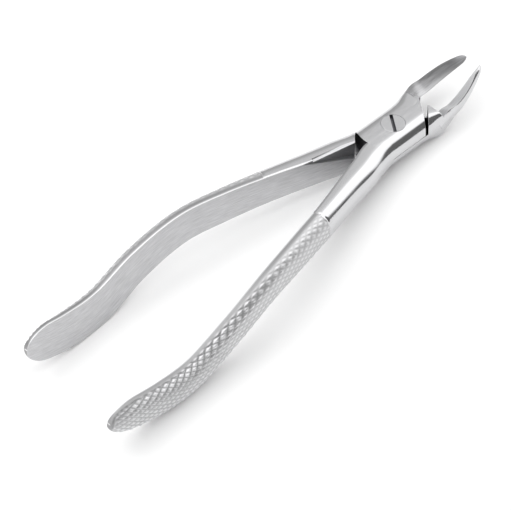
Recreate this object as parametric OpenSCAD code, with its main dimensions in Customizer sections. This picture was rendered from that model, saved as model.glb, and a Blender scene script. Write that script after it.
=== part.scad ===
// Extraction forceps with a lapped screw joint: two crossed stainless half forgings and one screw.
//
// Frame: +Z is the hinge axis, +X points along the beaks, and the handles lie towards -X.
// The origin is where the hinge axis meets the flat underside of the joint.
// The tool is drawn part open, as it is laid down on a tray.
//
// Each half is described on its own side of the XZ plane: "out" is measured away from that plane,
// positive on the side of the handle and negative on the side of the beak.

/* [Joint] */
// Width of the joint between its rounded sides
joint_w = 14.6; // [13.6:0.2:15.6]
// Thickness of the joint, both plates together
joint_t = 10; // [9:0.5:11]
// Radius of the curved back edge of each plate
plate_r = 11.4; // [10.8:0.1:11.5]
// Clear gap between the two lapped plates
lap_gap = 0.04; // [0.02:0.01:0.1]

/* [Screw] */
// Diameter of the slotted head
head_d = 7.4; // [6.6:0.2:7.8]
// Thickness of the head
head_t = 2.2; // [1.6:0.1:2.8]
// Diameter of the plain journal that the upper half turns on
journal_d = 5; // [4:0.25:5.5]
// Radial running clearance around the journal and the head
running_gap = 0.05; // [0.02:0.01:0.1]
// Diameter of the end fixed in the lower half
shank_d = 4.4; // [3.6:0.2:4.8]
// Metal left under the end of the screw
screw_floor = 0.6; // [0.4:0.1:1]
// Width of the driver slot
slot_w = 1; // [0.8:0.1:1.4]
// Depth of the driver slot
slot_h = 1.1; // [0.8:0.1:1.6]
// Direction of the driver slot in the top face, in degrees from +X
slot_angle = 53; // [0:1:179]

/* [Handles] */
// Half gap between the handles at the palm end
handle_out = 17.6; // [16:0.2:19]
// How much further back the upper half's handle reaches
upper_extra = 2.5; // [0:0.5:3]
// How far the palm end hangs below the shank
handle_drop = 10; // [6:1:14]
// Width of the handle's flat inner face at the grip
grip_w = 13.4; // [12:0.2:15]
// Thickness of the handle at the grip
grip_t = 4.8; // [4.2:0.2:6]

/* [Beaks] */
// Length of the beak in front of the hinge
beak_length = 35.4; // [33:0.2:38]
// Rise of the beak's tip above the middle of the joint
beak_rise = 6.9; // [5:0.1:9]

/* [Hidden] */

mid_z = joint_t / 2;
cut_over = 20;
steel = [0.80, 0.81, 0.82];
screw_steel = [0.74, 0.75, 0.77];
round_fn = 96;

// Squareness of the section curves: 2 is an ellipse, more is squarer
section_power = 2.5;
// Height of the joint's section curve before its top and bottom are ground flat
joint_crown = 1.08;

// Centre line of the handle's inner face, from inside the joint to the palm end, as
// [x, out, height above the shank, half width of the face, thickness, roll in degrees, crown].
handle_line = [
    [   0,               0.0,                  0.0,              mid_z,  joint_w / 2 - 0.03, 0, 1.08],
    [  -6,               0.0,                  0.0,              mid_z,  joint_w / 2 - 0.03, 0, 1.08],
    [ -13,               0.3,                  0.0,              mid_z,                 8.0, 0, 1.08],
    [ -20,               2.6,                  0.2,              mid_z,                 7.6, 0, 1.07],
    [ -28,               5.0,                  0.5,                5.1,                 6.8, 0, 1.06],
    [ -42,               9.2,                  0.9,                5.4,                 5.8, 0, 1.04],
    [ -57,              12.9,                  1.3,                5.8,                 5.2, 1, 1.03],
    [ -72,  handle_out - 1.6,                  0.8,                6.0,              grip_t, 2, 1.02],
    [ -88,        handle_out, -0.37 * handle_drop, grip_w / 2 - 0.5,              grip_t, 4, 1.02],
    [-103,        handle_out, -0.95 * handle_drop, grip_w / 2 - 0.1,        grip_t - 0.1, 6, 1.02],
    [-117,        handle_out, -0.95 * handle_drop, grip_w / 2 - 0.1,        grip_t - 0.6, 6, 1.02],
    [-131.5,      handle_out, -0.57 * handle_drop, grip_w / 2 - 0.9,        grip_t - 1.8, 6, 1.02]
];
// The last stretch of the handle over which its end is rounded off
palm_round = 9;

// Centre line of the beak's inner face, from inside the block to the tip, in the same columns;
// "out" is measured towards the beak's own side here, and the crown is the skew of its back.
beak_line = [
    [                 12, 6.2,               1.0, 1.6, 4.0, 58, -1.0],
    [                 16, 5.9,               3.1, 2.35, 4.3, 56, -1.5],
    [                 20, 5.9,               3.1, 2.3, 3.7, 55, -1.3],
    [                 24, 5.5,               4.0, 2.2, 3.0, 51, -0.8],
    [                 28, 4.7,               5.2, 2.0, 2.4, 45, -0.4],
    [                 32, 3.5,   beak_rise - 0.5, 1.6, 1.9, 33,  0.0],
    [        beak_length, 2.6,         beak_rise, 1.2, 1.3, 25,  0.0]
];
// The last stretch of the beak over which its tip is rounded off
tip_round = 2.6;

// Thick block at the root of the beak, as [x, inner side, outer side, bottom, top, squareness].
block_line = [
    [   5, 0.0, joint_w / 2,       -mid_z,       mid_z, 2.5],
    [   9, 0.6,         7.5,       -mid_z,       mid_z, 2.7],
    [12.4, 1.7,         7.8,       -mid_z,       mid_z, 4.0],
    [13.6, 3.0,         8.0,  0.4 - mid_z, mid_z - 0.4, 4.0],
    [15.0, 5.0,         8.1,  1.6 - mid_z, mid_z - 2.4, 4.0],
    [17.6, 5.8,         8.0,  3.4 - mid_z, mid_z - 3.0, 3.0],
    [  20, 6.2,         7.5,  4.6 - mid_z, mid_z - 3.4, 2.5]
];

// Shoulder that the other half's plate turns against, as [x, out] corners of the pocket
shoulder_outer = [-6.9, 9.55];
shoulder_inner = [-13.9, 2.4];
shoulder_back = [-17, -0.5];
// Relief ground into the inner face behind the shoulder, from the lap plane up: its floor climbs
// to the top of the shank over this length
relief_length = 17;
// Angle between the relief's wall and the joint's length, in degrees
relief_slant = 12;
// Face of the block that the other half's plate end closes towards
block_inner = [12.5, -2.5];
block_outer = [5.2, -10];
// End of this half's own plate, on the handle's side
plate_end_inner = [13.4, -1.8];
plate_end_outer = [4.8, 9.8];
// Where the plate runs out under this half's own beak
plate_front = 14;
// Inner side of the pocket at its open front
pocket_front_inner = 2.8;
// Outlines in plan are drawn this far forward, clear of the joint
clear_x = 18;

arc_points = 17;

// ---- Curves -------------------------------------------------------------------------------------

// One value of a smooth curve through four neighbours, t from 0 to 1 between the middle two
function between(a, b, c, d, t) =
    b + 0.5 * t * (c - a + t * (2 * a - 5 * b + 4 * c - d + t * (3 * (b - c) + d - a)));

// Row of a station table at a running index, with its end rows repeated
function row(table, i) = table[max(0, min(len(table) - 1, i))];

function station(table, s) =
    let (i = min(floor(s), len(table) - 2))
    between(row(table, i - 1), row(table, i), row(table, i + 1), row(table, i + 2), s - i);

function unit(v) = v / norm(v);

// Middle of a ring of points
function mean(ring) = [for (axis = [0:2]) [for (p = ring) p[axis]] * [for (p = ring) 1 / len(ring)]];

// Value raised to a power, keeping its sign
function signed_power(value, power) = sign(value) * pow(abs(value), power);

// Size of a section near a rounded end, as a share of its full size
function end_share(distance, length) =
    distance >= length ? 1 : sqrt(max(0.02, 1 - pow(1 - distance / length, 2)));

// ---- Sections -----------------------------------------------------------------------------------

// D-shaped section as [out, along the face], flat side first, with its edges ground flat at half_w
function d_section(half_w, thickness, crown) = [
    for (k = [0:arc_points - 1])
        let (a = -90 + 180 * k / (arc_points - 1))
        [
            thickness * signed_power(cos(a), 2 / section_power),
            max(-half_w, min(half_w, crown * half_w * signed_power(sin(a), 2 / section_power)))
        ]
];

// Leaning D: the same with an elliptical back whose crest is moved along the face by skew
function beak_section(half_w, thickness, skew) = [
    for (k = [0:arc_points - 1])
        let (a = -90 + 180 * k / (arc_points - 1))
        [thickness * cos(a), half_w * sin(a) + skew * cos(a) * cos(a)]
];

// Rounded-off section of the joint or the block as [out, up]
function block_section(low_y, high_y, low_z, high_z, power) = [
    for (k = [0:arc_points - 1])
        let (a = -90 + 180 * k / (arc_points - 1), middle = (low_z + high_z) / 2, half = (high_z - low_z) / 2)
        [
            low_y + (high_y - low_y) * signed_power(cos(a), 2 / power),
            middle + max(-half, min(half, joint_crown * half * signed_power(sin(a), 2 / power)))
        ]
];

// ---- Sweeps -------------------------------------------------------------------------------------

// Ring of 3-D points at a running index: the section is stood square to the centre line, then rolled
function ring(table, s, section, side, ahead) =
    let (
        here = station(table, s),
        step = station(table, s + ahead) - station(table, s - ahead),
        along = unit([step[0], step[1], step[2]]),
        flat = unit([-along[1], along[0], 0]),
        out_dir = (flat[1] > 0 ? 1 : -1) * flat,
        cross_up = cross(along, out_dir),
        up_dir = (cross_up[2] > 0 ? 1 : -1) * cross_up,
        roll = here[5],
        n = cos(roll) * out_dir - sin(roll) * up_dir,
        b = cos(roll) * up_dir + sin(roll) * out_dir,
        centre = [here[0], here[1], here[2]]
    )
    [for (p = section) let (q = centre + p[0] * n + p[1] * b) [q[0], side * q[1], q[2] + mid_z]];

// Closed skin over a list of rings, with both ends closed by a fan about the ring's middle
module skin(rings) {
    n = len(rings[0]);
    m = len(rings);
    points = concat([for (r = rings) each r], [mean(rings[0]), mean(rings[m - 1])]);
    walls = [
        for (i = [0:m - 2], k = [0:n - 1])
            each [
                [i * n + k, (i + 1) * n + (k + 1) % n, i * n + (k + 1) % n],
                [i * n + k, (i + 1) * n + k, (i + 1) * n + (k + 1) % n]
            ]
    ];
    first = [for (k = [0:n - 1]) [k, (k + 1) % n, m * n]];
    last = [for (k = [0:n - 1]) [(m - 1) * n + (k + 1) % n, (m - 1) * n + k, m * n + 1]];
    polyhedron(points, concat(first, walls, last), convexity = 6);
}

// The same skin when the rings run the other way round, as on the mirrored side
module skin_either(rings, flip) {
    if (flip)
        skin([for (r = rings) [for (k = [len(r) - 1:-1:0]) r[k]]]);
    else
        skin(rings);
}

// Running indexes along a table, closer together where the end is rounded off
function indexes(count, per_gap, fine) = concat(
    [for (i = [0:per_gap * (count - 2)]) i / per_gap],
    [for (u = fine) count - 2 + u]
);

module handle_sweep(side, extra) {
    last = len(handle_line) - 1;
    end_x = handle_line[last][0] - extra;
    line = [
        for (r = handle_line) r[0] > handle_line[last][0] ? r : concat([end_x], [for (i = [1:6]) r[i]])
    ];
    fine = [0.25, 0.45, 0.6, 0.72, 0.82, 0.9, 0.95, 0.98, 1];
    rings = [
        for (s = indexes(len(handle_line), 4, fine))
            let (
                here = station(line, s),
                share = end_share(here[0] - end_x, palm_round),
                section = d_section(share * here[3], (0.4 + 0.6 * share) * here[4], here[6])
            )
            ring(line, min(s, last - 0.01), section, side, 0.01)
    ];
    skin_either(rings, side > 0);
}

module beak_sweep(side) {
    last = len(beak_line) - 1;
    end_x = beak_line[last][0];
    fine = [0.3, 0.55, 0.75, 0.88, 0.96, 1];
    rings = [
        for (s = indexes(len(beak_line), 3, fine))
            let (
                here = station(beak_line, s),
                share = end_share(end_x - here[0], tip_round),
                section = beak_section(share * here[3], (0.3 + 0.7 * share) * here[4], here[6])
            )
            ring(beak_line, min(s, last - 0.01), section, side, 0.01)
    ];
    skin_either(rings, side < 0);
}

module block_sweep(side) {
    rings = [
        for (i = [0:2 * (len(block_line) - 1)])
            let (
                here = station(block_line, i / 2),
                section = block_section(here[1], here[2], here[3], here[4], here[5])
            )
            [for (p = section) [here[0], side * p[0], p[1] + mid_z]]
    ];
    skin_either(rings, side < 0);
}

// ---- The joint ----------------------------------------------------------------------------------

// Rounded bar along X that both plates are cut from
module joint_bar(from_x, to_x) {
    near = block_section(0, joint_w / 2, -mid_z, mid_z, section_power);
    far = [for (k = [len(near) - 2:-1:1]) [-near[k][0], near[k][1]]];
    translate([from_x, 0, mid_z])
        rotate([90, 0, 90])
            linear_extrude(to_x - from_x)
                polygon(concat(near, far));
}

// Outline of one half's plate seen from above, handle on the +Y side
module plate_outline() {
    intersection() {
        union() {
            circle(r = plate_r, $fn = round_fn);
            polygon([
                [0, -joint_w],
                [clear_x, -joint_w],
                [clear_x, 0],
                plate_end_inner,
                [0, plate_r]
            ]);
        }
        polygon([
            plate_end_inner,
            plate_end_outer,
            [-cut_over, plate_end_outer[1]],
            [-cut_over, -cut_over],
            [clear_x, -cut_over],
            [clear_x, plate_end_inner[1]]
        ]);
    }
}

// Space that the other half's plate turns in, seen from above, handle on the +Y side
module pocket_outline() {
    polygon([
        shoulder_outer,
        shoulder_inner,
        shoulder_back,
        [shoulder_back[0], -cut_over],
        [block_outer[0], -cut_over],
        block_outer,
        block_inner,
        [clear_x, pocket_front_inner],
        [clear_x, shoulder_outer[1]]
    ]);
}

// Wedge taken off the inner face behind the shoulder, for a handle on the +Y side with a low plate
module relief_wedge() {
    reach = relief_length + 2;
    translate([shoulder_inner[0], shoulder_inner[1], mid_z])
        rotate([0, atan(mid_z / relief_length), -relief_slant])
            translate([-reach, -cut_over, 0])
                cube([reach + 1, cut_over, cut_over]);
}

// One half: side is +1 with the handle at +Y; over is true where the plate is the upper one
module half(side, over) {
    plate_low = over ? mid_z + lap_gap / 2 : 0;
    plate_high = over ? joint_t : mid_z - lap_gap / 2;
    pocket_low = over ? -cut_over : mid_z - lap_gap / 2;
    pocket_high = over ? mid_z + lap_gap / 2 : joint_t + cut_over;
    difference() {
        union() {
            difference() {
                handle_sweep(side, over ? upper_extra : 0);
                translate([0, 0, over ? 2 * mid_z : 0])
                    mirror([0, 0, over ? 1 : 0])
                        mirror([0, side > 0 ? 0 : 1, 0])
                            relief_wedge();
            }
            block_sweep(-side);
            beak_sweep(-side);
        }
        translate([0, 0, pocket_low])
            linear_extrude(pocket_high - pocket_low)
                mirror([0, side > 0 ? 0 : 1])
                    pocket_outline();
    }
    intersection() {
        joint_bar(-plate_r - 1, plate_front);
        translate([0, 0, plate_low])
            linear_extrude(plate_high - plate_low)
                mirror([0, side > 0 ? 0 : 1])
                    plate_outline();
    }
}

// ---- Sub-parts ----------------------------------------------------------------------------------

// Half with the handle at +Y: its plate lies underneath, with the hole that holds the screw's end
module lower_half() {
    color(steel)
        difference() {
            half(1, false);
            translate([0, 0, screw_floor])
                cylinder(d = shank_d, h = joint_t, $fn = round_fn);
        }
}

// Half with the handle at -Y: its plate lies on top, with the bore and the seat for the head
module upper_half() {
    color(steel)
        difference() {
            half(-1, true);
            translate([0, 0, mid_z - 1])
                cylinder(d = journal_d + 2 * running_gap, h = mid_z + 2, $fn = round_fn);
            translate([0, 0, joint_t - head_t - running_gap])
                cylinder(d = head_d + 2 * running_gap, h = head_t + 1, $fn = round_fn);
        }
}

// Slotted joint screw: flat head, plain journal, and the end that is fixed in the lower half
module joint_screw() {
    color(screw_steel)
        difference() {
            union() {
                translate([0, 0, joint_t - head_t])
                    cylinder(d = head_d, h = head_t, $fn = round_fn);
                translate([0, 0, mid_z - lap_gap / 2])
                    cylinder(d = journal_d, h = mid_z - head_t + lap_gap, $fn = round_fn);
                translate([0, 0, screw_floor])
                    cylinder(d = shank_d, h = mid_z - screw_floor, $fn = round_fn);
            }
            rotate([0, 0, slot_angle])
                translate([-head_d, -slot_w / 2, joint_t - slot_h])
                    cube([2 * head_d, slot_w, 2 * slot_h]);
        }
}

lower_half();
upper_half();
joint_screw();
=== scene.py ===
"""Extraction forceps: polished and knurled stainless steel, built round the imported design.

Shapes are worked in millimetres in the design's own frame (+Z the hinge axis, +X along the beaks,
handles towards -X) and scaled to metres as each piece is made.
"""

import math

import bmesh
import bpy
import numpy as np
from mathutils import Matrix, Vector


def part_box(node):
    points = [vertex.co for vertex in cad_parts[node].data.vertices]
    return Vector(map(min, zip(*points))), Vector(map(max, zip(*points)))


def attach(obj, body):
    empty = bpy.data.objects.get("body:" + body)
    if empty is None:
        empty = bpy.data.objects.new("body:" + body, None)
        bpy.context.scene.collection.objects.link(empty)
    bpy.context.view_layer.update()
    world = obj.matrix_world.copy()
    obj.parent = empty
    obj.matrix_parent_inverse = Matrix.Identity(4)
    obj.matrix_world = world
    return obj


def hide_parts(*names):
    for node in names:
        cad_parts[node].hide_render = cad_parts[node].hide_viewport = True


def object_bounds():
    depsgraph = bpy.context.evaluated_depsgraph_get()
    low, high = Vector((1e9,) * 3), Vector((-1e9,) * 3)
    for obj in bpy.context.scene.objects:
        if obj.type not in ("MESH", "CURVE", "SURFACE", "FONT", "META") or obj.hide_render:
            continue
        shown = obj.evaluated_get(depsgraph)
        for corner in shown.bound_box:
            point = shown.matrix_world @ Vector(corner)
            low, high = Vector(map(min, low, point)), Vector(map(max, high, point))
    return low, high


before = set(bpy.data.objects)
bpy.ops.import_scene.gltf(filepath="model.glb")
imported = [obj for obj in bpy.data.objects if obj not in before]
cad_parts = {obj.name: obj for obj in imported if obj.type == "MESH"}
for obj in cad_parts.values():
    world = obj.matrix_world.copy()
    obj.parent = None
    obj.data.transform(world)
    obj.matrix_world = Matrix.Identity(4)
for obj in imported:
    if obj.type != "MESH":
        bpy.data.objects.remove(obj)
CAD_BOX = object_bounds()

MM = 0.001
DEG = math.pi / 180

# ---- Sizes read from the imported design, in mm ----------------------------------------------------

LOWER_BOX = [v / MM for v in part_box("lower_half")]
UPPER_BOX = [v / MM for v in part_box("upper_half")]
SCREW_BOX = [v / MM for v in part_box("joint_screw")]

JOINT_T = SCREW_BOX[1].z
MID_Z = JOINT_T / 2
HEAD_R = SCREW_BOX[1].x
SCREW_FLOOR = SCREW_BOX[0].z
BEAK_TIP_LEAN = 0.13   # the leaning tip reaches this far past the last row of BEAK_LINE
PALM_LEAN = {1: 0.15, -1: 0.1}   # and the palm ends past the last row of HANDLE_LINE, by side
BEAK_END = LOWER_BOX[1].x - BEAK_TIP_LEAN
PALM_END = {1: LOWER_BOX[0].x + PALM_LEAN[1], -1: UPPER_BOX[0].x + PALM_LEAN[-1]}

# ---- Sizes of the design that a box can't give, in mm --------------------------------------------

JOINT_W = 14.6
PLATE_R = 11.4        # back end of the plates
LAP_GAP = 0.14        # a little wider than the design's, for the eased edges of the lap
HEAD_T = 2.2
JOURNAL_R = 2.5       # turns in the upper half
SHANK_R = 2.2         # fixed in the lower half
RUNNING_GAP = 0.05
SLOT_W = 1.0
SLOT_H = 1.1
SLOT_ANGLE = 53
PLATE_FRONT = 14.0
POCKET_FRONT = 2.8    # side of the pocket at its front end
CLEAR_X = 18.0        # cutting outlines reach this far in front
CLEAR_Y = 20.0        # and this far to the sides and up
HANDLE_OUT = 17.6
HANDLE_DROP = 10.0
GRIP_W = 13.4
GRIP_T = 4.8
BEAK_RISE = 6.9
SECTION_POWER = 2.5    # squareness of the joint's and the handles' rounded sections
SECTION_CROWN = 1.08   # how far the round would rise past the ground flats, as a share

# Inner face of the handle, from inside the joint to the palm end:
# x, out, height above the middle, half width, thickness, roll in degrees, crown
HANDLE_LINE = np.array([
    [0, 0.0, 0.0, MID_Z, JOINT_W / 2 - 0.03, 0, SECTION_CROWN],
    [-6, 0.0, 0.0, MID_Z, JOINT_W / 2 - 0.03, 0, SECTION_CROWN],
    [-13, 0.3, 0.0, MID_Z, 8.0, 0, SECTION_CROWN],
    [-20, 2.6, 0.2, MID_Z, 7.6, 0, 1.07],
    [-28, 5.0, 0.5, 5.1, 6.8, 0, 1.06],
    [-42, 9.2, 0.9, 5.4, 5.8, 0, 1.04],
    [-57, 12.9, 1.3, 5.8, 5.2, 1, 1.03],
    [-72, HANDLE_OUT - 1.6, 0.8, 6.0, GRIP_T, 2, 1.02],
    [-88, HANDLE_OUT, -0.37 * HANDLE_DROP, GRIP_W / 2 - 0.5, GRIP_T, 4, 1.02],
    [-103, HANDLE_OUT, -0.95 * HANDLE_DROP, GRIP_W / 2 - 0.1, GRIP_T - 0.1, 6, 1.02],
    [-117, HANDLE_OUT, -0.95 * HANDLE_DROP, GRIP_W / 2 - 0.1, GRIP_T - 0.6, 6, 1.02],
    [-131.5, HANDLE_OUT, -0.57 * HANDLE_DROP, GRIP_W / 2 - 0.9, GRIP_T - 1.8, 6, 1.02],
])
PALM_ROUND = 9

# Gripping face of the beak, from inside the block to the tip:
# x, out, height above the middle, half width, thickness, roll in degrees, skew of the back
BEAK_LINE = np.array([
    [12, 6.2, 1.0, 1.6, 4.0, 58, -1.0],
    [16, 5.9, 3.1, 2.35, 4.3, 56, -1.5],
    [20, 5.9, 3.1, 2.3, 3.7, 55, -1.3],
    [24, 5.5, 4.0, 2.2, 3.0, 51, -0.8],
    [28, 4.7, 5.2, 2.0, 2.4, 45, -0.4],
    [32, 3.5, BEAK_RISE - 0.5, 1.6, 1.9, 33, 0.0],
    [BEAK_END, 2.6, BEAK_RISE, 1.2, 1.3, 25, 0.0],
])
TIP_ROUND = 2.6

# Block at the root of the beak: x, inner side, outer side, bottom, top, squareness
BLOCK_LINE = np.array([
    [5, 0.0, JOINT_W / 2, -MID_Z, MID_Z, 2.5],
    [9, 0.6, 7.5, -MID_Z, MID_Z, 2.7],
    [12.4, 1.7, 7.8, -MID_Z, MID_Z, 4.0],
    [13.6, 3.0, 8.0, 0.4 - MID_Z, MID_Z - 0.4, 4.0],
    [15.0, 5.0, 8.1, 1.6 - MID_Z, MID_Z - 2.4, 4.0],
    [17.6, 5.8, 8.0, 3.4 - MID_Z, MID_Z - 3.0, 3.0],
    [20, 6.2, 7.5, 4.6 - MID_Z, MID_Z - 3.4, 2.5],
])

# Lines in plan, for the half whose handle is at +Y
SHOULDER = [(-6.9, 9.55), (-13.9, 2.4), (-17, -0.5)]
BLOCK_FACE = [(5.2, -10), (12.5, -2.5)]
PLATE_END = [(13.4, -1.8), (4.8, 9.8)]
RELIEF_LENGTH = 17    # how far behind the shoulder the relief runs out
RELIEF_SLANT = 12     # turn of the relief's edge from X, in degrees

# ---- Detail that only the looks have, in mm ------------------------------------------------------

EDGE_FLAT = 0.55      # width of the eased edge beside the handle's flat inner face
EDGE_DROP = 0.16      # how far the eased edge falls
SOFT = 0.035          # softness of the change from a ground flat to the round, as a share of the half
EASED_RELIEF = 15.0   # how far behind the shoulder the relief's top edge is eased
SKIN = 0.012          # handles and beaks are this much slimmer than the design, to stay inside it
SEAM = 0.004          # handles and blocks stay this far below the ground faces of the joint
KNURL_START = -44.5   # x where the knurl begins, behind a narrow ground groove
START_GROOVE = 0.14   # depth of that groove
GROOVE_AHEAD = 0.45   # its middle, ahead of the knurl
GROOVE_HALF = 0.28    # about half its width
KNURL_ONE = (-0.31, 0.63)   # first set of grooves: how many per mm along and across the handle
KNURL_TWO = (0.30, 0.45)    # second set, crossing the first
KNURL_DEPTH = 0.42    # at the palm end
KNURL_WORN = 0.30     # share of that depth left near the joint
KNURL_FRESH = (70, 112)   # between these distances from the hinge it grows to its full depth
KNURL_EDGE = 0.8      # plain land between the knurl and the flat face
BEAK_HOLLOW = 0.12    # depth of the hollow in the gripping face
HEAD_CHAMFER = 0.08
SHARP_ANGLE = 26      # edges that turn by more degrees than this stay crisp
ROUND_COUNT = 144     # points round the screw and its bores

# The fifth and sixth kinds are darker steels that paint shade: in the gaps, bores and slot, and in the
# relief behind the shoulder
POLISHED, SATIN, KNURLED, GROUND, INSIDE_SHADE, RELIEF_SHADE = range(6)


# ---- Curves --------------------------------------------------------------------------------------

def station(table, s):
    """Rows of a table at running indexes s, on a smooth curve through all of its rows."""
    s = np.atleast_1d(np.asarray(s, float))
    last = len(table) - 1
    i = np.minimum(np.floor(s).astype(int), last - 1)
    t = (s - i)[:, None]
    a, b, c, d = (table[np.clip(i + k, 0, last)] for k in (-1, 0, 1, 2))
    return b + 0.5 * t * (c - a + t * (2 * a - 5 * b + 4 * c - d + t * (3 * (b - c) + d - a)))


def stand(table, s, sections, side):
    """Sections, one (points, 2) array per station, stood square to the centre line and rolled."""
    s = np.minimum(s, len(table) - 1.01)
    here = station(table, s)
    step = (station(table, s + 0.01) - station(table, s - 0.01))[:, :3]
    along = step / np.linalg.norm(step, axis=1, keepdims=True)
    flat = np.stack([-along[:, 1], along[:, 0], 0 * along[:, 0]], axis=1)
    flat /= np.linalg.norm(flat, axis=1, keepdims=True)
    out = flat * np.where(flat[:, 1] > 0, 1, -1)[:, None]
    up = np.cross(along, out)
    up *= np.where(up[:, 2] > 0, 1, -1)[:, None]
    roll = here[:, 5:6] * DEG
    n = np.cos(roll) * out - np.sin(roll) * up
    b = np.cos(roll) * up + np.sin(roll) * out
    points = here[:, None, :3] + sections[:, :, :1] * n[:, None] + sections[:, :, 1:2] * b[:, None]
    points[:, :, 1] *= side
    points[:, :, 2] += MID_Z
    return points


def signed_power(value, power):
    """Power of the value's size, with the value's own sign."""
    return np.sign(value) * np.abs(value) ** power


def evenly(points, count):
    """The same open line with its points spaced evenly, and how far along each one is."""
    gaps = np.linalg.norm(np.diff(points, axis=0), axis=1)
    run = np.concatenate([[0], np.cumsum(gaps)])
    at = np.linspace(0, run[-1], count)
    return np.stack([np.interp(at, run, points[:, k]) for k in range(2)], axis=1), at


def end_share(distance, length):
    """Share of full size at a distance from a round end; a little is left at the end itself."""
    inside = np.clip(distance / length, 0, 1)
    return np.sqrt(np.maximum(0.0015, 1 - (1 - inside) ** 2))


def lengths(rings):
    """How far along the line of its rings' middles each ring is."""
    centre = rings.mean(1)
    return np.concatenate([[0], np.cumsum(np.linalg.norm(np.diff(centre, axis=0), axis=1))])


def smooth_step(low, high, value):
    """0 up to low and 1 from high, with an even change between."""
    t = np.clip((value - low) / (high - low), 0, 1)
    return t * t * (3 - 2 * t)


# ---- Mesh helpers --------------------------------------------------------------------------------

def new_piece(name, vertices, faces, kinds, uv, dull_and_shade=None):
    """A mesh in mm. kinds is one material index per face, uv one (u, v) in mm per face corner,
    the last argument how unpolished each face corner is, with painted shade darkening the knurl's
    grooves: from 0 on a bright crest to 1 in a groove."""
    mesh = bpy.data.meshes.new(name)
    mesh.from_pydata([tuple(v) for v in vertices], [], faces)
    mesh.polygons.foreach_set("material_index", np.asarray(kinds, np.int32))
    layer = mesh.uv_layers.new(name="Brush")
    layer.data.foreach_set("uv", np.asarray(uv, np.float32).ravel())
    # Second map: how unpolished each corner is, plus painted shade for the knurl's grooves
    dull_and_shade_uv = np.zeros((len(uv), 2), np.float32)
    if dull_and_shade is not None:
        dull_and_shade_uv[:, 0] = dull_and_shade
    layer = mesh.uv_layers.new(name="Dull")
    layer.data.foreach_set("uv", dull_and_shade_uv.ravel())
    mesh.validate()
    for material in MATERIALS:
        mesh.materials.append(material)
    piece = bpy.data.objects.new(name, mesh)
    bpy.context.scene.collection.objects.link(piece)
    return piece


def face_outwards(piece):
    """Turn every face of a closed piece outwards."""
    work = bmesh.new()
    work.from_mesh(piece.data)
    bmesh.ops.recalc_face_normals(work, faces=work.faces)
    if work.calc_volume(signed=True) < 0:
        bmesh.ops.reverse_faces(work, faces=work.faces)
    work.to_mesh(piece.data)
    work.free()


def tube(name, rings, kinds, along, around, dull_and_shade=None):
    """Closed skin over rings. kinds is one index per gap round the ring, or per gap and ring;
    along and around are the brushing coordinates of each ring and of each point, and the last argument
    is how unpolished each point is, with painted shade in the knurl's grooves."""
    m, n = rings.shape[:2]
    vertices = list(rings.reshape(-1, 3)) + [rings[0].mean(0), rings[-1].mean(0)]
    kinds = np.broadcast_to(kinds, (m - 1, n))
    if dull_and_shade is None:
        dull_and_shade = np.zeros((m, n))
    faces, face_kinds, uv, corner_dull_and_shade = [], [], [], []
    for i in range(m - 1):
        for k in range(n):
            j = (k + 1) % n
            faces.append((i * n + k, (i + 1) * n + k, (i + 1) * n + j, i * n + j))
            face_kinds.append(kinds[i, k])
            right = around[i, k + 1] if k + 1 < n else around[i, k] + 1
            far = around[i + 1, k + 1] if k + 1 < n else around[i + 1, k] + 1
            uv += [(along[i], around[i, k]), (along[i + 1], around[i + 1, k]), (along[i + 1], far)]
            uv.append((along[i], right))
            corner_dull_and_shade += [dull_and_shade[i, k], dull_and_shade[i + 1, k], dull_and_shade[i + 1, j], dull_and_shade[i, j]]
    for ring, middle, kind in ((0, m * n, kinds[0, 0]), (m - 1, m * n + 1, kinds[-1, 0])):
        for k in range(n):
            faces.append((ring * n + k, ring * n + (k + 1) % n, middle))
            face_kinds.append(kind)
            uv += [(along[ring], around[ring, k])] * 3
            corner_dull_and_shade += [0.0] * 3
    piece = new_piece(name, vertices, faces, face_kinds, uv, corner_dull_and_shade)
    face_outwards(piece)
    return piece


def prism(name, outline, low, high, kind, side_kind=None):
    """Outline in plan, given as (x, y) points, drawn up from low to high."""
    n = len(outline)
    vertices = [(x, y, low) for x, y in outline] + [(x, y, high) for x, y in outline]
    faces = [tuple(range(n)), tuple(range(n, 2 * n))]
    kinds = [kind, kind]
    uv = [(x, y) for x, y in outline] * 2
    run = 0.0
    for k in range(n):
        j = (k + 1) % n
        width = math.dist(outline[k], outline[j])
        faces.append((k, j, n + j, n + k))
        kinds.append(kind if side_kind is None else side_kind)
        uv += [(run, low), (run + width, low), (run + width, high), (run, high)]
        run += width
    piece = new_piece(name, vertices, faces, kinds, uv)
    face_outwards(piece)
    return piece


def combine(target, tool, operation):
    """Boolean of two pieces; the tool is used up."""
    cut = target.modifiers.new("cut", "BOOLEAN")
    cut.operation = operation
    cut.object = tool
    cut.solver = "EXACT"
    graph = bpy.context.evaluated_depsgraph_get()
    made = bpy.data.meshes.new_from_object(target.evaluated_get(graph))
    target.modifiers.clear()
    target.data = made
    bpy.data.objects.remove(tool)
    return target


def circle(radius):
    """Outline of a circle round the hinge axis."""
    turns = [2 * math.pi * k / ROUND_COUNT for k in range(ROUND_COUNT)]
    return [(radius * math.cos(a), radius * math.sin(a)) for a in turns]


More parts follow.
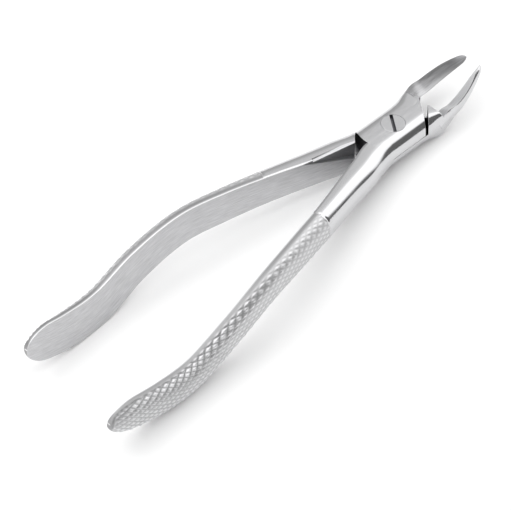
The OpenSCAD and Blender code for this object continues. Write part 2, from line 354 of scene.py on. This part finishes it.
def finish_piece(piece, body):
    """Metres, smooth shading with crisp edges, and a ride on its body."""
    piece.data.transform(Matrix.Scale(MM, 4))
    work = bmesh.new()
    work.from_mesh(piece.data)
    bmesh.ops.remove_doubles(work, verts=work.verts, dist=2e-7)
    bmesh.ops.dissolve_degenerate(work, edges=work.edges, dist=1e-7)
    work.to_mesh(piece.data)
    work.free()
    piece.data.shade_smooth()
    piece.data.set_sharp_from_angle(angle=SHARP_ANGLE * DEG)
    weigh = piece.modifiers.new("weigh", "WEIGHTED_NORMAL")
    weigh.keep_sharp = True
    graph = bpy.context.evaluated_depsgraph_get()
    made = bpy.data.meshes.new_from_object(piece.evaluated_get(graph))
    piece.modifiers.clear()
    piece.data = made
    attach(piece, body)
    return piece


# ---- Materials -----------------------------------------------------------------------------------

def node(tree, kind, **inputs):
    """New node with its inputs set; an underscore in a name stands for a space."""
    made = tree.nodes.new(kind)
    for name, value in inputs.items():
        made.inputs[name.replace("_", " ")].default_value = value
    return made


def brushed(tree, along, across, detail):
    """Noise stretched along the brushing, from the Brush coordinates, in lines per mm."""
    uv = tree.nodes.new("ShaderNodeUVMap")
    uv.uv_map = "Brush"
    scale = tree.nodes.new("ShaderNodeMapping")
    scale.inputs["Scale"].default_value = (along, across, 1)
    noise = node(tree, "ShaderNodeTexNoise", Scale=1.0, Detail=detail, Roughness=0.6)
    tree.links.new(uv.outputs["UV"], scale.inputs["Vector"])
    tree.links.new(scale.outputs["Vector"], noise.inputs["Vector"])
    return noise.outputs["Fac"]


def mottled(tree, scale, detail):
    """Even noise in the piece's own space, for handling marks; scale is in lumps per metre."""
    place = tree.nodes.new("ShaderNodeTexCoord")
    noise = node(tree, "ShaderNodeTexNoise", Scale=scale, Detail=detail, Roughness=0.55)
    tree.links.new(place.outputs["Object"], noise.inputs["Vector"])
    return noise.outputs["Fac"]


def spread(tree, value, low, high):
    """Noise's usual values, 0.3 to 0.7, stretched to low..high."""
    ramp = tree.nodes.new("ShaderNodeMapRange")
    ramp.inputs["From Min"].default_value = 0.3
    ramp.inputs["From Max"].default_value = 0.7
    ramp.inputs["To Min"].default_value = low
    ramp.inputs["To Max"].default_value = high
    tree.links.new(value, ramp.inputs["Value"])
    return ramp.outputs["Result"]


def added(tree, first, second):
    """Sum of two outputs."""
    total = tree.nodes.new("ShaderNodeMath")
    total.operation = "ADD"
    tree.links.new(first, total.inputs[0])
    tree.links.new(second, total.inputs[1])
    return total.outputs[0]


def darkened_for_finish_and_shade(tree, colour, share):
    """Colour taken down to a share of itself where the surface is unpolished or takes painted shade in
    the knurl's grooves, and left alone elsewhere.
    """
    uv = tree.nodes.new("ShaderNodeUVMap")
    uv.uv_map = "Dull"
    depth = tree.nodes.new("ShaderNodeSeparateXYZ")
    factor = tree.nodes.new("ShaderNodeMapRange")
    factor.inputs["From Min"].default_value = 0.3
    factor.inputs["From Max"].default_value = 1.0
    factor.inputs["To Min"].default_value = 1.0
    factor.inputs["To Max"].default_value = share
    scaled = tree.nodes.new("ShaderNodeVectorMath")
    scaled.operation = "SCALE"
    tree.links.new(uv.outputs["UV"], depth.inputs[0])
    tree.links.new(depth.outputs["X"], factor.inputs["Value"])
    tree.links.new(colour, scaled.inputs[0])
    tree.links.new(factor.outputs["Result"], scaled.inputs["Scale"])
    return scaled.outputs["Vector"]


def steel(name, dark, light, rough, rough_marks, lines, bump, edge=0.0, dull_and_shade=1.0):
    """Stainless steel: dark to light is the colour's spread, rough its roughness from and to,
    rough_marks what handling adds, lines the brushing (along, across) per mm, bump its depth in mm,
    edge the radius that edges are softened to in mm, and the last argument the share of colour kept where
    the surface is unpolished or takes painted shade in the knurl's grooves."""
    material = bpy.data.materials.new(name)
    material.use_nodes = True
    tree = material.node_tree
    shader = tree.nodes["Principled BSDF"]
    shader.inputs["Metallic"].default_value = 1.0
    lines_noise = brushed(tree, lines[0], lines[1], 4)
    marks_noise = mottled(tree, 160, 3)
    colour = tree.nodes.new("ShaderNodeValToRGB")
    colour.color_ramp.elements[0].position = 0.3
    colour.color_ramp.elements[0].color = (*dark, 1)
    colour.color_ramp.elements[1].position = 0.7
    colour.color_ramp.elements[1].color = (*light, 1)
    tree.links.new(lines_noise, colour.inputs["Fac"])
    tint = colour.outputs["Color"]
    # Painted shade: the colour is darkened in the knurl's grooves, and also on unpolished land and worn
    # crests
    if dull_and_shade < 1:
        tint = darkened_for_finish_and_shade(tree, tint, dull_and_shade)
    tree.links.new(tint, shader.inputs["Base Color"])
    base = spread(tree, lines_noise, rough[0], rough[1])
    marks = spread(tree, marks_noise, 0, rough_marks)
    tree.links.new(added(tree, base, marks), shader.inputs["Roughness"])
    relief = node(tree, "ShaderNodeBump", Strength=1.0, Distance=bump * MM)
    tree.links.new(lines_noise, relief.inputs["Height"])
    if edge:
        rounding = node(tree, "ShaderNodeBevel", Radius=edge * MM)
        rounding.samples = 4
        tree.links.new(rounding.outputs["Normal"], relief.inputs["Normal"])
    tree.links.new(relief.outputs["Normal"], shader.inputs["Normal"])
    return material


MATERIALS = [
    steel(
        "polished_steel", (0.60, 0.60, 0.61), (0.64, 0.64, 0.65), rough=(0.09, 0.14), rough_marks=0.05,
        lines=(0.15, 6), bump=0.0006, edge=0.15),
    steel(
        "satin_steel", (0.46, 0.46, 0.47), (0.66, 0.66, 0.67), rough=(0.30, 0.42), rough_marks=0.06,
        lines=(0.2, 2.6), bump=0.008, edge=0.12),
    # Knurled steel: darkened where unpolished and, as painted shade, in its grooves
    steel(
        "knurled_steel", (0.72, 0.72, 0.73), (0.82, 0.82, 0.83), rough=(0.40, 0.52), rough_marks=0.08,
        lines=(2.5, 3), bump=0.003, dull_and_shade=0.45),
    steel(
        "ground_steel", (0.57, 0.57, 0.58), (0.62, 0.62, 0.63), rough=(0.17, 0.25), rough_marks=0.06,
        lines=(0.3, 8), bump=0.002, edge=0.15),
    # Painted shade: near-black steel for the sides of the pocket, the bores and the screw's slot
    steel(
        "inside_steel_painted_shade", (0.13, 0.13, 0.14), (0.19, 0.19, 0.20), rough=(0.35, 0.45), rough_marks=0.05,
        lines=(1, 5), bump=0.003, edge=0.1),
    # Painted shade: darker steel for the relief behind the shoulder and the top of the block ahead of its
    # face
    steel(
        "relief_steel_painted_shade", (0.29, 0.29, 0.30), (0.39, 0.39, 0.40), rough=(0.30, 0.42), rough_marks=0.08,
        lines=(0.6, 4), bump=0.004, edge=0.1),
]


# ---- Handle --------------------------------------------------------------------------------------

def soft_limit(value, limit, soft):
    """Value held between -limit and limit, easing into both."""
    spare = limit - np.abs(value)
    return np.sign(value) * (limit - (spare + np.sqrt(spare ** 2 + soft ** 2)) / 2)


def handle_section(half, thickness, crown, ease, curve_count, flat_count):
    """D with eased corners: the curve first, then the eased edges and the flat inner face.
    Gives the points and, for the curve, the distance from its crest."""
    edge_flat, edge_drop = ease * EDGE_FLAT, ease * EDGE_DROP
    a = np.linspace(-math.pi / 2, math.pi / 2, 181)
    side = crown * half * signed_power(np.sin(a), 2 / SECTION_POWER)
    curve = np.stack([
        thickness * signed_power(np.cos(a), 2 / SECTION_POWER),
        soft_limit(side, half, SOFT * half),
    ], axis=1)
    curve = curve[curve[:, 0] > edge_flat]
    curve = np.concatenate([[[edge_flat, curve[0, 1]]], curve, [[edge_flat, curve[-1, 1]]]])
    flat_y = np.linspace(curve[-1, 1] - edge_drop, edge_drop - curve[-1, 1], flat_count)
    curve, run = evenly(curve, curve_count)
    flat = np.stack([0 * flat_y, flat_y], axis=1)
    return np.concatenate([curve, flat]), run - run[-1] / 2


def groove_profile(phase):
    """Height from groove to groove, 0 at the rounded bottom and 1 on the blunted crest."""
    bottom, blunting = 0.1, 1.18
    share = np.abs(phase - np.round(phase)) * 2
    height = (np.sqrt(share ** 2 + bottom ** 2) - bottom) / (math.sqrt(1 + bottom ** 2) - bottom)
    return np.minimum(1, blunting * height)


def knurl_cut(along, across):
    """Share of the knurl's depth that is cut away, as (ring, point): 0 on a crest, 1 in a groove."""
    one = KNURL_ONE[0] * along + KNURL_ONE[1] * across
    two = KNURL_TWO[0] * along + KNURL_TWO[1] * across
    return 1 - np.minimum(groove_profile(one), groove_profile(two))


def knurl(runs, along, x):
    """How deep the round outer face is cut at each point, and how unpolished it is left there, with
    painted shade in its grooves. The knurl fades in at the plain edge, at its start and at the palm end."""
    edge_gap = np.minimum(runs - runs[:, :1], runs[:, -1:] - runs)
    edge_share = smooth_step(KNURL_EDGE - 0.3, KNURL_EDGE + 1.2, edge_gap)
    start_share = smooth_step(0.0, 0.5, KNURL_START - x)
    palm_share = smooth_step(0.9, 2.0, along[-1] - along)
    fresh = smooth_step(*KNURL_FRESH, -x)
    cover = edge_share * start_share * palm_share
    cut = knurl_cut(along, runs) * cover
    depth = KNURL_DEPTH * (KNURL_WORN + (1 - KNURL_WORN) * fresh) * cut
    # Fresh crests are bright, and worn ones are unpolished like the plain parts that aren't cut; the
    # grooves take painted shade
    fresh_dull_and_shade, worn_dull_and_shade = 0.8 * cut, 0.25 + 0.45 * cut
    dull_and_shade = cover * (fresh * fresh_dull_and_shade + (1 - fresh) * worn_dull_and_shade) + (1 - cover)
    from_groove = (x - KNURL_START - GROOVE_AHEAD) / GROOVE_HALF
    groove = START_GROOVE * np.exp(-(from_groove ** 2)) * smooth_step(0.6, 1.6, edge_gap)
    return depth + groove, dull_and_shade


def handle(side):
    """The handle with its knurl, as one closed tube, in mm."""
    table = HANDLE_LINE.copy()
    table[-1, 0] = PALM_END[side]
    last = len(table) - 1
    # Rings: sparse on the plain part, close over the knurl, and closest at the round palm end
    knurl_row = 4.9
    plain = np.linspace(0, knurl_row, 70)
    knurled = np.linspace(knurl_row, last - 1, 400)[1:]
    palm = last - np.linspace(1, 0, 110)[1:] ** 1.35
    s = np.concatenate([plain, knurled, palm])
    here = station(table, s)
    share = end_share(here[:, 0] - table[-1, 0], PALM_ROUND)
    curve_count, flat_count = 120, 7
    sections, runs = [], []
    for row, part in zip(here, share):
        half_width = part * row[3] - SEAM
        thickness = (0.4 + 0.6 * part) * row[4] - SKIN
        ease = 0.15 + 0.85 * part
        points, run = handle_section(half_width, thickness, row[6], ease, curve_count, flat_count)
        sections.append(points)
        runs.append(run)
    sections, runs = np.array(sections), np.array(runs)
    rings = stand(table, s, sections, side)
    along = lengths(rings)
    x = here[:, :1]

    curve = rings[:, :curve_count]
    centre = rings.mean(1)
    normal = np.cross(np.gradient(curve, axis=0), np.gradient(curve, axis=1))
    normal /= np.maximum(np.linalg.norm(normal, axis=2, keepdims=True), 1e-9)
    outwards = np.sign((normal * (curve - centre[:, None])).sum(2, keepdims=True))
    depth, dull_and_shade = knurl(runs, along[:, None], x)
    rings[:, :curve_count] = curve - normal * outwards * depth[:, :, None]

    kinds = np.full((len(s) - 1, curve_count + flat_count), SATIN)
    kinds[:, :curve_count - 1] = np.where(x[:-1] < KNURL_START, KNURLED, POLISHED)
    kinds[:, curve_count - 1] = kinds[:, 0]
    kinds[:, -1] = kinds[:, 0]
    flat_run = sections[:, curve_count:, 1]
    around = np.concatenate([runs, 40 + flat_run], axis=1)
    dull_and_shade = np.concatenate([dull_and_shade, 0 * flat_run], axis=1)
    return tube(f"handle{side}", rings, kinds, along, around, dull_and_shade)


# ---- Beak and block ------------------------------------------------------------------------------

def beak(side):
    """The beak, with a hollow ground along its gripping face."""
    last = len(BEAK_LINE) - 1
    # Rings, closest at the round tip
    s = np.concatenate([np.linspace(0, last - 1, 60), last - np.linspace(1, 0, 40)[1:] ** 1.7])
    here = station(BEAK_LINE, s)
    share = end_share(here[:, 0].max() - here[:, 0], TIP_ROUND)
    back_a = np.linspace(-math.pi / 2, math.pi / 2, 41)
    face_t = np.linspace(1, -1, 25)[1:-1]
    sections = []
    for row, part in zip(here, share):
        half_width = part * row[3] - SKIN
        thickness = (0.3 + 0.7 * part) * row[4] - SKIN
        back_y = half_width * np.sin(back_a) + row[6] * np.cos(back_a) ** 2
        back = np.stack([thickness * np.cos(back_a), back_y], axis=1)
        hollow = BEAK_HOLLOW * part * smooth_step(13, 18, row[0]) * np.clip(1.08 - face_t ** 2, 0, 0.93)
        face = np.stack([hollow * (1 - np.abs(face_t) ** 6), half_width * face_t], axis=1)
        sections.append(np.concatenate([back, face]))
    sections = np.array(sections)
    rings = stand(BEAK_LINE, s, sections, side)
    kinds = np.full((len(s) - 1, sections.shape[1]), POLISHED)
    kinds[:, len(back_a) - 1:] = SATIN
    around = np.concatenate([
        np.broadcast_to(np.linspace(0, 8, len(back_a)), (len(s), len(back_a))),
        20 + sections[:, len(back_a):, 1],
    ], axis=1)
    return tube(f"beak{side}", rings, kinds, lengths(rings), around)


def block(side):
    """Rounded block that the beak grows out of."""
    s = np.linspace(0, len(BLOCK_LINE) - 1, 49)
    here = station(BLOCK_LINE, s)
    a = np.linspace(-math.pi / 2, math.pi / 2, 49)
    rings = []
    for x, inner, outer, low, high, square in here:
        middle = (low + high) / 2
        half_height = (high - low) / 2 - SEAM
        y = inner + (outer - inner) * signed_power(np.cos(a), 2 / square)
        rise = SECTION_CROWN * half_height * signed_power(np.sin(a), 2 / square)
        z = middle + soft_limit(rise, half_height, SOFT * half_height)
        rings.append(np.stack([np.full_like(a, x), side * y, z + MID_Z], axis=1))
    rings = np.array(rings)
    kinds = np.full((len(s) - 1, len(a)), POLISHED)
    kinds[:, -1] = GROUND
    if side > 0:
        in_front = here[:-1, 0] > BLOCK_FACE[1][0]
        # Painted shade: the block's top ahead of the block face takes the darker relief steel
        kinds[np.ix_(in_front, a > 0)] = RELIEF_SHADE
    around = np.broadcast_to(np.linspace(0, 20, len(a)), (len(s), len(a)))
    return tube(f"block{side}", rings, kinds, here[:, 0], around)


# ---- The joint -----------------------------------------------------------------------------------

def mirrored(outline, side):
    """Plan outline for a handle on the given side."""
    return [(x, side * y) for x, y in outline]


def joint_bar():
    """Rounded bar along X that the plates are cut from, ground flat on top and underneath."""
    a = np.linspace(-math.pi / 2, math.pi / 2, 61)
    y = JOINT_W / 2 * signed_power(np.cos(a), 2 / SECTION_POWER)
    rise = SECTION_CROWN * MID_Z * signed_power(np.sin(a), 2 / SECTION_POWER)
    z = soft_limit(rise, MID_Z, SOFT * MID_Z)
    z[0], z[-1] = -MID_Z, MID_Z
    ring = np.concatenate([np.stack([y, z], 1), np.stack([-y, z], 1)[-2:0:-1]])
    x = np.linspace(-PLATE_R - 1, PLATE_FRONT, 40)
    rings = np.array([np.column_stack([0 * ring[:, 0] + at, ring[:, 0], ring[:, 1] + MID_Z]) for at in x])
    ground = np.abs(ring[:, 1]) > MID_Z - SOFT
    kinds = np.where(ground & np.roll(ground, -1), GROUND, POLISHED)
    around = np.broadcast_to(np.linspace(0, 40, len(ring)), (len(x), len(ring)))
    return tube("bar", rings, kinds, x, around)


def plate_outline():
    """Outline of a plate in plan, for a handle on +Y: straight sides, curved back, oblique front end."""
    turns = np.linspace(math.pi / 2, 1.5 * math.pi, 73)
    arc = [(PLATE_R * math.cos(a), PLATE_R * math.sin(a)) for a in turns]
    return [*arc, (0, -JOINT_W), (CLEAR_X, -JOINT_W), (CLEAR_X, PLATE_END[0][1]), *PLATE_END]


def pocket_outline():
    """Space that the other half's plate turns in, in plan, for a handle on +Y."""
    back, front = SHOULDER[-1][0], BLOCK_FACE[0][0]
    open_front = [(CLEAR_X, POCKET_FRONT), (CLEAR_X, SHOULDER[0][1])]
    return [*SHOULDER, (back, -CLEAR_Y), (front, -CLEAR_Y), *BLOCK_FACE, *open_front]


def relief(side, over, edge):
    """Wedge that clears the other shank behind the shoulder, or the one that eases its top edge."""
    reach = RELIEF_LENGTH + 2
    outline = [(-reach, -CLEAR_Y), (1, -CLEAR_Y), (1, 0), (-reach, 0)]
    if edge:
        outline = [(-EASED_RELIEF, -1), (1, -1), (1, 1), (-EASED_RELIEF, 1)]
    # The relief's cut faces take painted shade; the eased edge is satin
    wedge = prism("relief", outline, 0, CLEAR_Y, SATIN if edge else RELIEF_SHADE)
    height = JOINT_T - EDGE_DROP if edge else MID_Z
    place = Matrix.Translation((*SHOULDER[1], height)) @ Matrix.Rotation(-RELIEF_SLANT * DEG, 4, "Z")
    if edge:
        place = place @ Matrix.Rotation(math.atan(EDGE_DROP / EDGE_FLAT), 4, "X")
    else:
        place = place @ Matrix.Rotation(math.atan(MID_Z / RELIEF_LENGTH), 4, "Y")
    if side < 0:
        place = Matrix.Scale(-1, 4, (0, 1, 0)) @ place
    if over:
        place = Matrix.Translation((0, 0, 2 * MID_Z)) @ Matrix.Scale(-1, 4, (0, 0, 1)) @ place
    wedge.data.transform(place)
    face_outwards(wedge)
    return wedge


def half(name, side, over):
    """One forging: handle on the given side, plate over or under, beak on the other side."""
    body = combine(handle(side), relief(side, over, False), "DIFFERENCE")
    combine(body, relief(side, over, True), "DIFFERENCE")
    combine(body, block(-side), "UNION")
    combine(body, beak(-side), "UNION")
    gap = LAP_GAP / 2
    low, high = (-CLEAR_Y, MID_Z + gap) if over else (MID_Z - gap, 2 * CLEAR_Y)
    pocket = prism("pocket", mirrored(pocket_outline(), side), low, high, GROUND, INSIDE_SHADE)
    combine(body, pocket, "DIFFERENCE")
    low, high = (MID_Z + gap, 2 * CLEAR_Y) if over else (-CLEAR_Y, MID_Z - gap)
    outline = prism("outline", mirrored(plate_outline(), side), low, high, GROUND, INSIDE_SHADE)
    combine(body, combine(joint_bar(), outline, "INTERSECT"), "UNION")
    body.name = name
    return body


def bore(body, radius, low, high):
    """Cut a round hole on the hinge axis."""
    combine(body, prism("bore", circle(radius), low, high, INSIDE_SHADE, INSIDE_SHADE), "DIFFERENCE")


def screw():
    """Slotted screw turned from bar: flush head with a fine chamfer, journal and fixed end."""
    head_low = JOINT_T - HEAD_T
    journal_low = MID_Z - LAP_GAP / 2
    head_flat = HEAD_R - HEAD_CHAMFER
    profile = [
        (0, SCREW_FLOOR), (SHANK_R, SCREW_FLOOR), (SHANK_R, journal_low), (JOURNAL_R, journal_low),
        (JOURNAL_R, head_low), (head_flat, head_low), (HEAD_R, head_low + HEAD_CHAMFER),
        (HEAD_R, JOINT_T - HEAD_CHAMFER), (head_flat, JOINT_T), (0, JOINT_T),
    ]
    count = ROUND_COUNT
    turns = np.linspace(0, 2 * math.pi, count, endpoint=False)
    middle = profile[1:-1]
    vertices = [(r * math.cos(a), r * math.sin(a), z) for r, z in middle for a in turns]
    vertices += [(0, 0, profile[0][1]), (0, 0, profile[-1][1])]
    faces, uv = [], []
    for i in range(len(middle) - 1):
        low, high = sum(middle[i]), sum(middle[i + 1])
        for k in range(count):
            j = (k + 1) % count
            faces.append((i * count + k, i * count + j, (i + 1) * count + j, (i + 1) * count + k))
            uv += [(k, low), (k + 1, low), (k + 1, high), (k, high)]
    for ring, tip in ((0, len(vertices) - 2), (len(middle) - 1, len(vertices) - 1)):
        for k in range(count):
            faces.append((ring * count + k, ring * count + (k + 1) % count, tip))
            uv += [(k / 6, middle[ring][0]), (k / 6 + 1 / 6, middle[ring][0]), (k / 6, 0)]
    piece = new_piece("joint_screw_turned", vertices, faces, [GROUND] * len(faces), uv)
    face_outwards(piece)
    slot = prism("slot", [(-9, -SLOT_W / 2), (9, -SLOT_W / 2), (9, SLOT_W / 2), (-9, SLOT_W / 2)],
                 JOINT_T - SLOT_H, JOINT_T + 2, INSIDE_SHADE, INSIDE_SHADE)
    slot.data.transform(Matrix.Rotation(SLOT_ANGLE * DEG, 4, "Z"))
    return combine(piece, slot, "DIFFERENCE")


lower = half("lower_half_forging", 1, False)
bore(lower, SHANK_R, SCREW_FLOOR, JOINT_T)
upper = half("upper_half_forging", -1, True)
bore(upper, JOURNAL_R + RUNNING_GAP, MID_Z - 1, JOINT_T + 1)
bore(upper, HEAD_R + RUNNING_GAP, JOINT_T - HEAD_T - RUNNING_GAP, JOINT_T + 1)

finish_piece(lower, "lower_body")
finish_piece(upper, "upper_body")
joint_screw = finish_piece(screw(), "lower_body")
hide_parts("lower_half")
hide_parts("upper_half")
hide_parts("joint_screw")


# ---- Floor, light and camera ---------------------------------------------------------------------

def lowest(pieces, x_low, x_high):
    """Place, in metres, of the pieces' lowest vertex between two x values in mm."""
    inside = [v.co for p in pieces for v in p.data.vertices if x_low * MM <= v.co.x <= x_high * MM]
    return min(inside, key=lambda co: co.z)


def floor():
    """Pale table that the tool lies on: it touches the front of the joint and both grips."""
    front = lowest([lower], 8, 20)
    back = lowest([lower, upper], -200, -60)
    slope = (front.z - back.z) / (front.x - back.x)
    undersides = []
    for piece in (lower, upper):
        undersides += [v.co.z - slope * v.co.x for v in piece.data.vertices]
    height = min(undersides) - 0.02 * MM
    size = 3.0
    mesh = bpy.data.meshes.new("floor")
    corners = [(-size, -size), (size, -size), (size, size), (-size, size)]
    mesh.from_pydata([(x, y, slope * x + height) for x, y in corners], [], [(0, 1, 2, 3)])
    made = bpy.data.objects.new("floor", mesh)
    bpy.context.scene.collection.objects.link(made)
    paper = bpy.data.materials.new("floor_paper")
    paper.use_nodes = True
    tree = paper.node_tree
    shader = tree.nodes["Principled BSDF"]
    shader.inputs["Roughness"].default_value = 0.9
    shader.inputs["Specular IOR Level"].default_value = 0.1
    tint = tree.nodes.new("ShaderNodeValToRGB")
    tint.color_ramp.elements[0].color = (0.90, 0.90, 0.90, 1)
    tint.color_ramp.elements[1].color = (0.93, 0.93, 0.93, 1)
    tree.links.new(mottled(tree, 40, 3), tint.inputs["Fac"])
    tree.links.new(tint.outputs["Color"], shader.inputs["Base Color"])
    shader.inputs["Emission Color"].default_value = (1, 1, 1, 1)
    shader.inputs["Emission Strength"].default_value = 0.08
    mesh.materials.append(paper)


def area_light(name, place, aim, size, power):
    """Round soft lamp at a place, turned towards a point; metres and watts."""
    lamp = bpy.data.lights.new(name, "AREA")
    lamp.shape = "DISK"
    lamp.size = size
    lamp.energy = power
    made = bpy.data.objects.new(name, lamp)
    bpy.context.scene.collection.objects.link(made)
    made.location = place
    made.rotation_mode = "QUATERNION"
    made.rotation_quaternion = (Vector(aim) - Vector(place)).to_track_quat("-Z", "Y")


def sky():
    """Light tent: a bright band overhead along X, grey towards +Y and dark towards -Y. What the camera
    sees of it directly is white."""
    world = bpy.data.worlds.new("tent")
    bpy.context.scene.world = world
    world.use_nodes = True
    tree = world.node_tree
    tree.nodes.clear()
    place = tree.nodes.new("ShaderNodeTexCoord")
    parts = tree.nodes.new("ShaderNodeSeparateXYZ")
    ramp = tree.nodes.new("ShaderNodeValToRGB")
    # The direction's Y, and how bright the tent is there
    stops = [(-1, 0.17), (-0.52, 0.17), (-0.42, 1.6), (0.25, 1.7), (0.45, 0.88), (0.6, 0.6), (1, 0.5)]
    elements = ramp.color_ramp.elements
    while len(elements) < len(stops):
        elements.new(0.5)
    for element, (at, level) in zip(elements, stops):
        element.position = (at + 1) / 2
        element.color = (level, level, level, 1)
    tent = tree.nodes.new("ShaderNodeBackground")
    seen = node(tree, "ShaderNodeBackground", Color=(1, 1, 1, 1), Strength=1.0)
    path = tree.nodes.new("ShaderNodeLightPath")
    mix = tree.nodes.new("ShaderNodeMixShader")
    out = tree.nodes.new("ShaderNodeOutputWorld")
    tree.links.new(place.outputs["Generated"], parts.inputs[0])
    share = tree.nodes.new("ShaderNodeMapRange")
    share.inputs["From Min"].default_value = -1
    tree.links.new(parts.outputs["Y"], share.inputs["Value"])
    tree.links.new(share.outputs["Result"], ramp.inputs["Fac"])
    tree.links.new(ramp.outputs["Color"], tent.inputs["Color"])
    tree.links.new(path.outputs["Is Camera Ray"], mix.inputs[0])
    tree.links.new(tent.outputs[0], mix.inputs[1])
    tree.links.new(seen.outputs[0], mix.inputs[2])
    tree.links.new(mix.outputs[0], out.inputs["Surface"])


def camera():
    """Long lens beyond the palm ends, on the side of the upper half's handle, looking down."""
    low, high = CAD_BOX
    aim = Vector(((low.x + high.x) / 2 - 11.3 * MM, -2.45 * MM, 0))
    azimuth, elevation, distance = -45.41 * DEG, 46.17 * DEG, 0.8661
    back = Vector((
        math.sin(azimuth) * math.cos(elevation),
        -math.cos(azimuth) * math.cos(elevation),
        math.sin(elevation)))
    lens = bpy.data.cameras.new("camera")
    lens.sensor_width = 36
    lens.lens = 211.35
    lens.clip_start, lens.clip_end = 0.05, 20
    made = bpy.data.objects.new("camera", lens)
    bpy.context.scene.collection.objects.link(made)
    made.location = aim + back * distance
    made.rotation_mode = "QUATERNION"
    made.rotation_quaternion = (-back).to_track_quat("-Z", "Y")
    bpy.context.scene.camera = made


floor()
sky()
area_light("key", (-0.5, 0.9, 1.3), (-0.05, 0, 0), 1.0, 5)
camera()
bpy.context.scene.view_settings.view_transform = "Standard"
